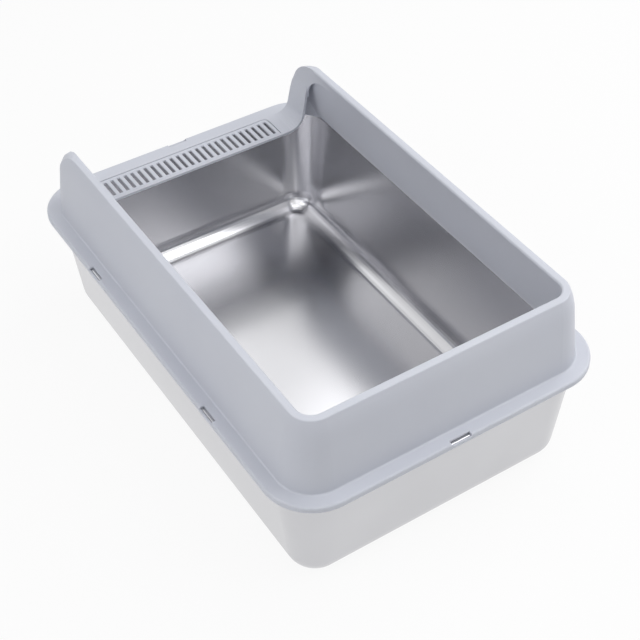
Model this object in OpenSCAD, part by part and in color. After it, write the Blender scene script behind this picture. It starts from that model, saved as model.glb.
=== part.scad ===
// Litter box for a cat: a deep-drawn steel pan, a high-sided plastic surround
// that sits over the pan's rolled rim, and a slotted grille that drops into
// the low entry deck. Millimetres. +Z is up and the entry end is at -Y.
//
// Every wall is a section swept round one rounded rectangle. A section's points
// are [inset, height]: the inset is measured inwards from the flange's edge.

/* [Overall] */
// Width over the flange
flange_w = 398; // [360:1:440]
// Length over the flange
flange_l = 600; // [540:1:680]
// Corner radius of the flange, seen from above
corner_r = 57; // [50:0.5:64]
// Height of the pan, from its base to the top of its rolled rim
pan_h = 149.3; // [120:0.1:170]
// Height of the surround above its flange
wall_h = 90; // [82:1:120]

/* [Pan] */
// Thickness of the steel sheet
sheet_t = 0.8; // [0.6:0.1:0.8]
// Radius of the rolled rim
bead_r = 1.4; // [1.4:0.1:1.6]
// How far the rolled rim stands above the flat rim inside it
bead_proud = 0.5; // [0.5:0.1:0.6]
// Inset of the top of the pan's wall
pan_top_in = 14.5; // [14.2:0.1:16]
// Radius between the flat rim and the pan's wall
shoulder_r = 2; // [1:0.1:2.2]
// Inset of the centre of the pan's corner radii
pan_corner = 60; // [57:0.5:60.5]
// Lean of the pan's wall, in degrees from upright
pan_lean = 5.5; // [4:0.1:8]
// Outside radius between the pan's wall and its floor
floor_r = 28; // [12:1:32]

/* [Flange] */
// Thickness of the flange plate, the deck and the skin around the hollow spaces
plate_t = 2.4; // [2.2:0.1:2.8]
// Thickness of the lip that hangs outside the rolled rim
lip_t = 1.6; // [1.4:0.1:2]
// How far the lip hangs below the flange plate
lip_drop = 4.5; // [3.5:0.1:5.2]
// Radius of the lip's upper outside edge
lip_r = 2.6; // [1.8:0.1:3]

/* [Wall] */
// Inset of the foot of the fillet between the flange and the wall
foot_in = 14.1; // [13.6:0.1:15]
// Radius of that fillet
foot_r = 2.4; // [1.8:0.1:3]
// Lean of the wall's outside, in degrees from upright
wall_lean = 7.2; // [6:0.1:7.8]
// Extra lean that the wall gathers towards its top, in degrees
top_lean = 17; // [12:0.5:19]
// Height of the part of the wall that gathers the extra lean
top_curve_h = 24; // [20:1:30]
// Width of the rim at the wall's top
rim_w = 9.4; // [8.5:0.1:10.5]
// Radius of the rim's outer edge
rim_r = 1.8; // [1:0.1:2.5]
// Radius of the rim's inner edge
rim_inner_r = 2.4; // [1.6:0.1:3]

/* [Entry] */
// Inset of the deck's inner edge
deck_in = 62; // [60:0.5:70]
// Thickness of the deck's turned-down inner edge
edge_t = 3.4; // [3:0.1:5]
// Height of the deck's turned-down inner edge
edge_h = 3.2; // [3:0.1:4]
// Radius between the deck and a wing, on the deck's upper side
sweep_r = 21.5; // [16:0.5:26]
// Lean of a wing's inner face, in degrees from upright
wing_lean = 9.5; // [5:0.5:11]
// Height above the deck at which that face turns upright
wing_lean_h = 59; // [50:1:64]
// Radius of a wing's nose, seen from the side
nose_r = 50.5; // [44:0.5:54]
// Inset of the nose's foremost point
nose_in = 28; // [27:0.5:34]
// Angle by which the nose turns back on its outside, in degrees
nose_turn = 20; // [10:1:24]
// Width of the nose's front, up to the bevel down its outside
nose_w = 6; // [5:0.5:9]
// Angle of that bevel, in degrees from the front
nose_bevel = 50; // [40:1:60]
// Lean of the nose's front below that point, in degrees from upright
nose_lean = 1; // [0.5:0.5:3]
// Radius of the arch at the back of a wing's face
arch_r = 35; // [28:1:42]
// Height of the web above that arch
web_h = 13; // [10:0.5:16]
// Length of the web, back to where the wall takes it over
web_l = 62; // [60:1:70]
// Angle by which the web turns outwards, in degrees
web_turn = 2.6; // [2.4:0.1:3.2]

/* [Grille] */
// Number of slots
slot_n = 26; // [16:1:26]
// Distance from slot to slot
slot_pitch = 9.1; // [8:0.1:9.1]
// Width of a slot
slot_w = 4.4; // [3.6:0.1:5]
// Length of a slot
slot_l = 28.5; // [20:0.5:29]
// Radius of a slot's corners
slot_r = 0.8; // [0.4:0.1:1.5]
// Length of the panel
panel_l = 240; // [238:1:242]
// Width of the panel
panel_w = 36.4; // [35.8:0.1:38]
// Thickness of the panel
panel_t = 1.9; // [1.5:0.1:2.2]
// Radius of the panel's front corners
panel_r = 5; // [3:0.5:8]
// Width of the rail between the slots and the panel's inner edge
panel_rail = 3.2; // [3:0.1:4]
// Gap along the panel's front and ends
panel_gap = 1.1; // [0.8:0.1:1.4]
// Width of the ledge that carries the panel
ledge_w = 2.6; // [2:0.1:3]
// How far the ledge hangs below the deck
ledge_drop = 1.2; // [0.8:0.1:2]

/* [Rim windows] */
// Length of a window
window_l = 25; // [18:1:30]
// Inset of a window's inner side
window_in = 5.6; // [4.6:0.1:6]
// How far a window cuts down into the lip
window_drop = 0.3; // [0.2:0.1:1]
// Distance between the two windows on a long side
window_span = 258; // [180:1:320]

/* [Clearances] */
// Between the flange plate and the rolled rim that carries it
seat_gap = 0.3; // [0.2:0.05:0.5]
// Between the lip and the rolled rim
lip_gap = 0.4; // [0.3:0.05:0.6]
// Between the grille's panel and the ledge and edge that hold it
panel_clear = 0.3; // [0.2:0.05:0.4]

/* [Hidden] */

steel_colour = "#c4c5c6";
plastic_colour = "#c3c6d0";

$fn = 96;
arc_steps = 8;
eps = 0.01;

// Half sizes, and the centre that all corner radii share
half_w = flange_w / 2;
half_l = flange_l / 2;
centre_x = half_w - corner_r;
centre_y = half_l - corner_r;

// Heights of the surround's levels
plate_z = pan_h + seat_gap;
deck_z = plate_z + plate_t;
top_z = deck_z + wall_h;

// Centre of the rolled rim, the flat rim that starts inside it, and the shoulder that leads
// down to the pan's wall
bead_in = lip_t + lip_gap + bead_r;
bead_z = pan_h - bead_r;
flat_in = bead_in + bead_r * cos(45);
flat_z = pan_h - bead_proud;
shoulder_c = [pan_top_in - shoulder_r * cos(pan_lean), flat_z - sheet_t - shoulder_r];

// Turning points of the wall's outside
foot_top_in = foot_in + foot_r * cos(wall_lean);
foot_top_z = deck_z + foot_r * (1 - sin(wall_lean));
curve_z = top_z - top_curve_h;
curve_in = foot_top_in + (curve_z - foot_top_z) * tan(wall_lean);
rim_lean = wall_lean + top_lean;
curve_r = (top_curve_h - rim_r * (1 - sin(rim_lean))) / (sin(rim_lean) - sin(wall_lean));
rim_in = curve_in + curve_r * (cos(wall_lean) - cos(rim_lean));
rim_inner_in = rim_in + rim_w;

// The wall's inner face runs straight from the rim's inner edge to the fillet's underside
foot_c = [foot_in, deck_z + foot_r];
rim_inner_c = [rim_inner_in - rim_inner_r, top_z - rim_inner_r];
inner_run = rim_inner_c - foot_c;
inner_lean = acos((foot_r + plate_t - rim_inner_r) / norm(inner_run)) - atan2(inner_run[1], inner_run[0]);

// The entry, from the middle outwards
deck_y = -(half_l - deck_in);
wing_x = half_w - rim_inner_in;
wing_lean_z = deck_z + wing_lean_h;
sweep_z = deck_z + sweep_r;
sweep_top_z = sweep_z - sweep_r * sin(wing_lean);
sweep_x = wing_x - (wing_lean_z - sweep_top_z) * tan(wing_lean) - sweep_r * cos(wing_lean);
nose_front_y = -(half_l - nose_in);
nose_y = nose_front_y + nose_r;
nose_z = top_z - nose_r;

// The grille's place on the deck
panel_back_y = deck_y - edge_t - panel_clear;
panel_front_y = panel_back_y - panel_w;
slot_y = panel_back_y - panel_rail - slot_l / 2;

// Points of an arc about c, from angle a0 to angle a1
function arc(c, r, a0, a1, n = arc_steps) =
    [for (i = [0:n]) c + r * [cos(a0 + (a1 - a0) * i / n), sin(a0 + (a1 - a0) * i / n)]];

// The same points in the opposite order
function reversed(points) = [for (i = [len(points) - 1:-1:0]) points[i]];

// ---- Sections swept round the rounded rectangle ----

// In these modules c is the inset of the centre that all of the sweep's corner radii share.

// A straight stretch of a sweep on the +X side, from y0 to y1
module straight_x(y0, y1)
    translate([half_w, y1, 0])
        rotate([90, 0, 0])
            linear_extrude(y1 - y0)
                mirror([1, 0])
                    children();

// A straight stretch of a sweep on the +Y side, over the width between the corners
module straight_y(c)
    translate([c - half_w, half_l, 0])
        rotate([90, 0, 90])
            linear_extrude(flange_w - 2 * c)
                mirror([1, 0])
                    children();

// The +X +Y corner of a sweep
module corner(c)
    translate([half_w - c, half_l - c, 0])
        rotate_extrude(angle = 90)
            translate([c, 0])
                mirror([1, 0])
                    children();

// A shape and its mirror image across the length
module both_sides() {
    children();
    mirror([1, 0, 0])
        children();
}

// The part of a sweep that lies beyond y0, round the +Y end
module sweep_beyond(y0, c = corner_r) {
    both_sides() {
        straight_x(y0, half_l - c)
            children();
        corner(c)
            children();
    }
    straight_y(c)
        children();
}

// A whole sweep
module sweep_all(c = corner_r)
    for (end = [0, 1])
        mirror([0, end, 0])
            sweep_beyond(0, c)
                children();

// Everything behind a line of [inset, height] points, at the entry end as far as y = y1
module front_fill(line, y1) {
    low = line[0][1];
    high = line[len(line) - 1][1];
    mirror([0, 1, 0])
        sweep_beyond(-y1)
            polygon([for (p = line) p, [corner_r, high], [corner_r, low]]);
    translate([-centre_x, -centre_y, low])
        cube([2 * centre_x, y1 + centre_y, high - low]);
}

// A shape seen from the front, drawn out along the length from y0 to y1
module along_y(y0, y1)
    translate([0, y1, 0])
        rotate([90, 0, 0])
            linear_extrude(y1 - y0)
                children();

// A shape seen from the side, drawn out along the width from x0 to x1
module along_x(x0, x1)
    translate([x0, 0, 0])
        rotate([90, 0, 90])
            linear_extrude(x1 - x0)
                children();

// ---- Pan ----

// Outside of the pan as a line from the floor to the flat rim, moved inwards by t
function pan_line(t) =
    let (
        wall_top_z = shoulder_c[1] + shoulder_r * sin(pan_lean),
        floor_in = pan_top_in + (wall_top_z - floor_r) * tan(pan_lean),
        floor_c = [floor_in + floor_r / cos(pan_lean), floor_r]
    )
    [for (p = arc(floor_c, floor_r - t, 270, 180 + pan_lean, 12)) p,
     for (p = arc(shoulder_c, shoulder_r + t, pan_lean, 90, 4)) p,
     [flat_in, flat_z - sheet_t + t]];

// Section of the pan's floor and wall, with the shoulder and the flat rim
module pan_section()
    polygon([[pan_corner, 0],
             for (p = pan_line(0)) p,
             for (p = reversed(pan_line(sheet_t))) p,
             [pan_corner, sheet_t]]);

// Section of the rolled rim with the flat rim beside it
module bead_section() {
    translate([flat_in, flat_z - sheet_t])
        square([shoulder_c[0] - flat_in, sheet_t]);
    translate([bead_in, bead_z])
        difference() {
            circle(bead_r);
            circle(bead_r - sheet_t);
            translate([0, -2 * bead_r])
                square(2 * bead_r);
        }
}

module litter_pan()
    color(steel_colour) {
        sweep_all(pan_corner)
            pan_section();
        sweep_all()
            bead_section();
        translate([pan_corner - half_w, pan_corner - half_l, 0])
            cube([flange_w - 2 * pan_corner, flange_l - 2 * pan_corner, sheet_t]);
    }

// ---- Surround ----

// Outside of the flange, from the inside of its lip up to the plate's top
flange_line = [
    [lip_t, plate_z],
    [lip_t, plate_z - lip_drop],
    [0, plate_z - lip_drop],
    for (p = arc([lip_r, deck_z - lip_r], lip_r, 180, 90, 6)) p
];

// Outside of the wall, from its foot up to the rim
wall_line = [
    for (p = arc(foot_c, foot_r, 270, 360 - wall_lean)) p,
    for (p = arc([curve_in + curve_r * cos(wall_lean), curve_z - curve_r * sin(wall_lean)],
                 curve_r, 180 - wall_lean, 180 - rim_lean)) p
];

// The rounded edge between the wall's outside and the rim's top
rim_outer_edge = arc([rim_in + rim_r * cos(rim_lean), top_z - rim_r], rim_r, 180 - rim_lean, 90, 4);

// All three as one line
outer_line = [
    for (p = flange_line) p,
    for (p = wall_line) p,
    for (i = [1:len(rim_outer_edge) - 1]) rim_outer_edge[i]
];

// Section along the sides and the closed end: flange, wall and rim in one
module back_section()
    polygon([for (p = outer_line) p,
             for (p = arc(rim_inner_c, rim_inner_r, 90, -inner_lean, 5)) p,
             for (p = arc(foot_c, foot_r + plate_t, -inner_lean, -90)) p]);

// The wall's inside as a line from low_z up to the rim
function inner_line(low_z) = [
    [foot_in, low_z],
    for (p = arc(foot_c, foot_r + plate_t, -90, -inner_lean)) p,
    rim_inner_c + rim_inner_r * [cos(inner_lean), -sin(inner_lean)]
];

// The +X half of the deck's and wing's upper side as a line from the deck outwards, moved
// down and outwards by t
function entry_line(t) = [
    for (p = arc([sweep_x, sweep_z], sweep_r + t, 270, 360 - wing_lean)) p,
    [wing_x + t, wing_lean_z],
    for (p = arc([wing_x + t + rim_inner_r, top_z - rim_inner_r], rim_inner_r, 180, 90, 5)) p
];

// Area under the deck and outside the wings, moved down and outwards by t, from low_z up
module entry_area(t, low_z)
    polygon([for (p = entry_line(t)) p,
             [half_w, top_z],
             [half_w, low_z],
             [-half_w, low_z],
             [-half_w, top_z],
             for (p = reversed(entry_line(t))) [-p[0], p[1]]]);

// The part of that area beside the flat of the deck, on the +X side
module wing_area(t, low_z)
    polygon([for (p = entry_line(t)) p,
             [half_w, top_z],
             [half_w, low_z],
             [sweep_x, low_z]]);

// Flange, deck and wings at the entry end, solid
module front_solid() {
    intersection() {
        front_fill(outer_line, deck_y);
        along_y(-half_l, deck_y)
            entry_area(0, plate_z - 2 * lip_drop);
    }
    along_y(deck_y - edge_t, deck_y)
        difference() {
            entry_area(0, deck_z - edge_h);
            entry_area(edge_h, deck_z - 2 * edge_h);
        }
}

// Hollow behind the wings. It keeps the skin behind the nose's cuts, and the plate below them.
module front_hollow() {
    low_z = deck_z - 2 * edge_h;
    front_y = nose_front_y + edge_h;
    arc_r = nose_r - web_h - plate_t;
    difference() {
        intersection() {
            front_fill(inner_line(low_z), deck_y);
            both_sides() {
                along_y(-half_l, deck_y - edge_t)
                    wing_area(plate_t, low_z);
                along_y(deck_y - edge_t, deck_y)
                    wing_area(edge_h, low_z);
            }
            along_x(-half_w, half_w)
                polygon([for (p = arc([nose_y, nose_z], arc_r, 180, 90)) p,
                         [deck_y + 1, nose_z + arc_r],
                         [deck_y + 1, low_z],
                         [front_y, low_z],
                         [front_y, nose_z]]);
        }
        both_sides()
            translate([0, 1.2 * edge_h, -3 * edge_h])
                nose_offcut();
    }
}

// Web on the +X side that carries the wing's face on over an arch, until the wall's inside
// takes it over
module web()
    translate([wing_x, deck_y, 0])
        rotate([0, 0, -web_turn])
            along_x(0, plate_t)
                polygon([for (p = arc([arch_r, top_z - web_h - arch_r], arch_r, 180, 90)) p,
                         [web_l, top_z - web_h],
                         [web_l, top_z - rim_inner_r],
                         [0, top_z - rim_inner_r]]);

// What a cut down the +X nose takes off, turned back by a given angle, from x0 to x1 along the
// cut. It has the nose's arc in side view.
module nose_cut(turn, x0, x1) {
    front = (nose_z - deck_z) * tan(nose_lean);
    depth = cos(turn);
    rotate([0, 0, turn])
        along_x(x0, x1)
            polygon([for (p = arc([nose_r, nose_z], nose_r, 180, 90)) [p[0] * depth, p[1]],
                     [nose_r * depth, top_z + 1],
                     [-nose_r, top_z + 1],
                     [-nose_r, deck_z],
                     [-front * depth, deck_z]]);
}

// What the rounding of the +X nose takes off: its front, and a bevel down its outside
module nose_offcut()
    translate([wing_x, nose_front_y, 0]) {
        nose_cut(nose_turn, -wing_x, half_w);
        translate([nose_w, nose_w * tan(nose_turn), 0])
            nose_cut(nose_bevel, -nose_w, half_w);
    }

// Places on the flange's edge: the children's -X points inwards
module at_windows() {
    for (turn = [0, 180], y = [-window_span / 2, window_span / 2])
        rotate([0, 0, turn])
            translate([half_w, y, 0])
                children();
    for (turn = [90, 270])
        rotate([0, 0, turn])
            translate([half_l, 0, 0])
                children();
}

// Window through the flange's edge that shows the rolled rim
module window()
    translate([-window_in, -window_l / 2, plate_z - window_drop])
        cube([2 * window_in, window_l, 2 * plate_t]);

// Outline of the grille's panel, larger by gap at its front and ends and by back at its back
module panel_area(gap, back, r) {
    x = panel_l / 2 + gap;
    y0 = panel_front_y - gap;
    polygon([[x, panel_back_y + back],
             [-x, panel_back_y + back],
             for (p = arc([r - x, y0 + r], r, 180, 270, 6)) p,
             for (p = arc([x - r, y0 + r], r, 270, 360, 6)) p]);
}

// Frame under the deck that carries the grille's panel
module ledge_frame()
    translate([0, 0, plate_z - ledge_drop])
        linear_extrude(ledge_drop + eps)
            panel_area(panel_gap + ledge_w, panel_clear + eps, panel_r + panel_gap + ledge_w);

// Recess for the grille's panel, and the opening inside its ledge
module panel_recess() {
    translate([0, 0, deck_z - panel_t - panel_clear])
        linear_extrude(plate_t)
            panel_area(panel_gap, panel_clear, panel_r + panel_gap);
    translate([0, 0, plate_z - ledge_drop - 1])
        linear_extrude(plate_t + ledge_drop + 1)
            panel_area(panel_gap - ledge_w, panel_clear - ledge_w, panel_r);
}

module enclosure()
    color(plastic_colour)
        difference() {
            union() {
                difference() {
                    union() {
                        sweep_beyond(deck_y)
                            back_section();
                        front_solid();
                    }
                    front_hollow();
                    both_sides()
                        nose_offcut();
                }
                both_sides()
                    web();
                ledge_frame();
            }
            at_windows()
                window();
            panel_recess();
        }

// ---- Grille ----

// Outline of one slot
module slot_area() {
    x = slot_w / 2 - slot_r;
    y = slot_l / 2 - slot_r;
    polygon([for (k = [0:3])
        let (side = k == 0 || k == 3 ? 1 : -1, end = k < 2 ? 1 : -1)
        for (p = arc([side * x, end * y], slot_r, 90 * k, 90 * (k + 1), 3)) p]);
}

module entry_grille()
    color(plastic_colour)
        translate([0, 0, deck_z - panel_t])
            linear_extrude(panel_t)
                difference() {
                    panel_area(0, 0, panel_r);
                    for (i = [0:slot_n - 1])
                        translate([(i - (slot_n - 1) / 2) * slot_pitch, slot_y])
                            slot_area();
                }

litter_pan();
enclosure();
entry_grille();
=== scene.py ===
# Litter box: a satin steel pan, a high-sided plastic surround and a slotted grille.
import math
import bpy
from mathutils import Matrix, Vector

# Camera: place in metres; azimuth, elevation and roll in degrees; lens in millimetres
CAMERA_AT = (0.5990, 0.9864, 1.1840)
CAMERA_TURN = (147.777, 43.799, -0.905)
CAMERA_LENS = 76.70
CAMERA_SENSOR = 36.0

# Edges sharper than this angle, in degrees, are broken with this many segments
EDGE_ANGLE = 38
EDGE_SEGMENTS = 2

# Strength of the world's light, for the rays that don't see the white background
FILL = 0.14

# Floor: half its width and its depth below the object in metres, how pale it is, and how far
# its seen side glows white
FLOOR_HALF = 6
FLOOR_DROP = 0.0005
FLOOR_PALE = 0.8
FLOOR_GLOW = 0.9

# Softboxes: side, distance and the height they face, in metres
LAMP_SIDE = 1.5
LAMP_AWAY = 2.2
LAMP_AIM = 0.1

# Azimuth and elevation in degrees, and watts: a low ring, three high ones and one overhead
LAMPS = (
    (0, 30, 6),
    (90, 30, 15),
    (135, 30, 4.4),
    (225, 30, 10),
    (270, 30, 15.4),
    (120, 60, 4),
    (210, 60, 10),
    (300, 60, 9.2),
    (0, 90, 4.8),
)

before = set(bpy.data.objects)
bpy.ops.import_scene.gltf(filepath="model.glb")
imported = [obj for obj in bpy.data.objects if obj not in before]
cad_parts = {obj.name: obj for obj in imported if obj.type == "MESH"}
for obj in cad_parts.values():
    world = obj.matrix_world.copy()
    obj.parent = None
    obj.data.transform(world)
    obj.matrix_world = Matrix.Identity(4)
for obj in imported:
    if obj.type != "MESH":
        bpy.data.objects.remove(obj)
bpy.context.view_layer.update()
scene = bpy.context.scene
scene.view_settings.view_transform = "Standard"


# ---- Camera ----

def look(azimuth, elevation, roll):
    """Rotation of a camera or lamp that faces the origin from the given direction."""
    a, e, r = (math.radians(v) for v in (azimuth, elevation, roll))
    back = Vector((math.sin(a) * math.cos(e), -math.cos(a) * math.cos(e), math.sin(e)))
    right = Vector((0, 0, 1)).cross(back).normalized()
    up = back.cross(right)
    return Matrix((right * math.cos(r) + up * math.sin(r),
                   up * math.cos(r) - right * math.sin(r),
                   back)).transposed()


cam = bpy.data.cameras.new("camera")
cam.lens = CAMERA_LENS
cam.sensor_width = CAMERA_SENSOR
cam_obj = bpy.data.objects.new("camera", cam)
cam_obj.matrix_world = Matrix.Translation(CAMERA_AT) @ look(*CAMERA_TURN).to_4x4()
scene.collection.objects.link(cam_obj)
scene.camera = cam_obj


# ---- Materials ----

class Nodes:
    """Small helper that adds and links shader nodes in one material or world."""

    def __init__(self, tree):
        self.tree = tree
        tree.nodes.clear()

    def add(self, kind, **values):
        """Adds a node and sets the given inputs and attributes."""
        n = self.tree.nodes.new(kind)
        for k, v in values.items():
            if k in n.inputs.keys():
                n.inputs[k].default_value = v
            else:
                setattr(n, k, v)
        return n

    def link(self, a, b):
        self.tree.links.new(a, b)


def srgb(r, g, b):
    """Linear colour from sRGB levels of 0 to 255."""
    return [((c / 255 + 0.055) / 1.055) ** 2.4 if c > 10 else c / 255 / 12.92 for c in (r, g, b)] + [1.0]


def surface(name, **values):
    """A material with one Principled shader: itself, its nodes, the shader and the object coordinates."""
    m = bpy.data.materials.new(name)
    m.use_nodes = True
    n = Nodes(m.node_tree)
    out = n.add("ShaderNodeOutputMaterial")
    bsdf = n.add("ShaderNodeBsdfPrincipled", **values)
    n.link(bsdf.outputs["BSDF"], out.inputs["Surface"])
    pos = n.add("ShaderNodeTexCoord")
    return m, n, bsdf, pos.outputs["Object"]


def cloudy(n, bsdf, pos, scale, stops):
    """Base colour that drifts softly between two colours."""
    cloud = n.add("ShaderNodeTexNoise", Scale=scale, Detail=3.0, Roughness=0.5)
    n.link(pos, cloud.inputs["Vector"])
    tint = n.add("ShaderNodeValToRGB")
    for element, (position, colour) in zip(tint.color_ramp.elements, stops):
        element.position = position
        element.color = colour
    n.link(cloud.outputs["Fac"], tint.inputs["Fac"])
    n.link(tint.outputs["Color"], bsdf.inputs["Base Color"])


def grained(n, bsdf, grain, roughness, strength, height):
    """Roughness that a grain varies between two values, and its bump, as high as given in metres."""
    rough = n.add("ShaderNodeMapRange", **{"To Min": roughness[0], "To Max": roughness[1]})
    n.link(grain.outputs["Fac"], rough.inputs["Value"])
    n.link(rough.outputs["Result"], bsdf.inputs["Roughness"])
    bump = n.add("ShaderNodeBump", Strength=strength, Distance=height)
    n.link(grain.outputs["Fac"], bump.inputs["Height"])
    n.link(bump.outputs["Normal"], bsdf.inputs["Normal"])


def plastic(name):
    """Satin moulded plastic with a fine spark-eroded grain."""
    m, n, bsdf, pos = surface(name)
    cloudy(n, bsdf, pos, 6.0, ((0.3, srgb(196, 199, 209)), (0.7, srgb(200, 203, 212))))
    grain = n.add("ShaderNodeTexNoise", Scale=1400.0, Detail=2.0, Roughness=0.6)
    n.link(pos, grain.inputs["Vector"])
    grained(n, bsdf, grain, (0.42, 0.54), 0.05, 0.0002)
    return m


def steel(name):
    """Satin stainless sheet, drawn to depth, with a faint grain along the length."""
    m, n, bsdf, pos = surface(name, Metallic=1.0)
    cloudy(n, bsdf, pos, 7.0, ((0.25, srgb(197, 197, 200)), (0.75, srgb(204, 204, 207))))
    stretch = n.add("ShaderNodeMapping", Scale=(1500.0, 90.0, 1500.0))
    n.link(pos, stretch.inputs["Vector"])
    grain = n.add("ShaderNodeTexNoise", Scale=1.0, Detail=3.0, Roughness=0.6)
    n.link(stretch.outputs["Vector"], grain.inputs["Vector"])
    grained(n, bsdf, grain, (0.19, 0.25), 0.02, 0.0001)
    return m


def dress(node, material, edge):
    """Gives a node its material and breaks its sharp edges by the given width in metres."""
    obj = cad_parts[node]
    obj.data.materials.clear()
    obj.data.materials.append(material)
    bevel = obj.modifiers.new("broken_edges", "BEVEL")
    bevel.width = edge
    bevel.segments = EDGE_SEGMENTS
    bevel.limit_method = "ANGLE"
    bevel.angle_limit = math.radians(EDGE_ANGLE)
    bevel.harden_normals = True


dress("enclosure", plastic("satin_plastic"), 0.0004)
dress("entry_grille", plastic("satin_plastic_grille"), 0.0003)
dress("litter_pan", steel("satin_steel"), 0.0001)


# ---- Floor, world and lamps ----

def shader_for_rays(n, seen, lit):
    """One shader for camera, glossy and transmission rays, another for the light on the object."""
    path = n.add("ShaderNodeLightPath")
    total = path.outputs["Is Camera Ray"]
    for kind in ("Is Glossy Ray", "Is Transmission Ray"):
        step = n.add("ShaderNodeMath", operation="MAXIMUM")
        n.link(total, step.inputs[0])
        n.link(path.outputs[kind], step.inputs[1])
        total = step.outputs["Value"]
    mix = n.add("ShaderNodeMixShader")
    n.link(total, mix.inputs["Fac"])
    n.link(lit, mix.inputs[1])
    n.link(seen, mix.inputs[2])
    return mix.outputs["Shader"]


world = bpy.data.worlds.new("studio")
world.use_nodes = True
scene.world = world
w = Nodes(world.node_tree)
w_out = w.add("ShaderNodeOutputWorld")
white = w.add("ShaderNodeBackground", Color=(1, 1, 1, 1), Strength=1.0)
fill = w.add("ShaderNodeBackground", Color=(1, 1, 1, 1), Strength=FILL)
w.link(shader_for_rays(w, white.outputs["Background"], fill.outputs["Background"]), w_out.inputs["Surface"])

floor_mesh = bpy.data.meshes.new("floor")
floor_corners = [(x * FLOOR_HALF, y * FLOOR_HALF, 0) for x, y in ((-1, -1), (1, -1), (1, 1), (-1, 1))]
floor_mesh.from_pydata(floor_corners, [], [(0, 1, 2, 3)])
floor = bpy.data.objects.new("floor", floor_mesh)
floor.location = (0, 0, -FLOOR_DROP)
scene.collection.objects.link(floor)
floor_mat = bpy.data.materials.new("floor")
floor_mat.use_nodes = True
f = Nodes(floor_mat.node_tree)
f_out = f.add("ShaderNodeOutputMaterial")
paper = f.add("ShaderNodeBsdfDiffuse", Color=(FLOOR_PALE, FLOOR_PALE, FLOOR_PALE, 1))
glow = f.add("ShaderNodeEmission", Color=(1, 1, 1, 1), Strength=1.0)
seen_floor = f.add("ShaderNodeMixShader", Fac=FLOOR_GLOW)
f.link(paper.outputs["BSDF"], seen_floor.inputs[1])
f.link(glow.outputs["Emission"], seen_floor.inputs[2])
f.link(shader_for_rays(f, seen_floor.outputs["Shader"], paper.outputs["BSDF"]), f_out.inputs["Surface"])
floor_mesh.materials.append(floor_mat)


def softbox(azimuth, elevation, watts):
    """A large square lamp that faces the object, as far away on every side."""
    lamp = bpy.data.lights.new("softbox", "AREA")
    lamp.shape = "SQUARE"
    lamp.size = LAMP_SIDE
    lamp.energy = watts
    turn = look(azimuth, elevation, 0)
    obj = bpy.data.objects.new("softbox", lamp)
    obj.matrix_world = Matrix.Translation(Vector((0, 0, LAMP_AIM)) + LAMP_AWAY * turn.col[2]) @ turn.to_4x4()
    scene.collection.objects.link(obj)


for lamp_row in LAMPS:
    softbox(*lamp_row)
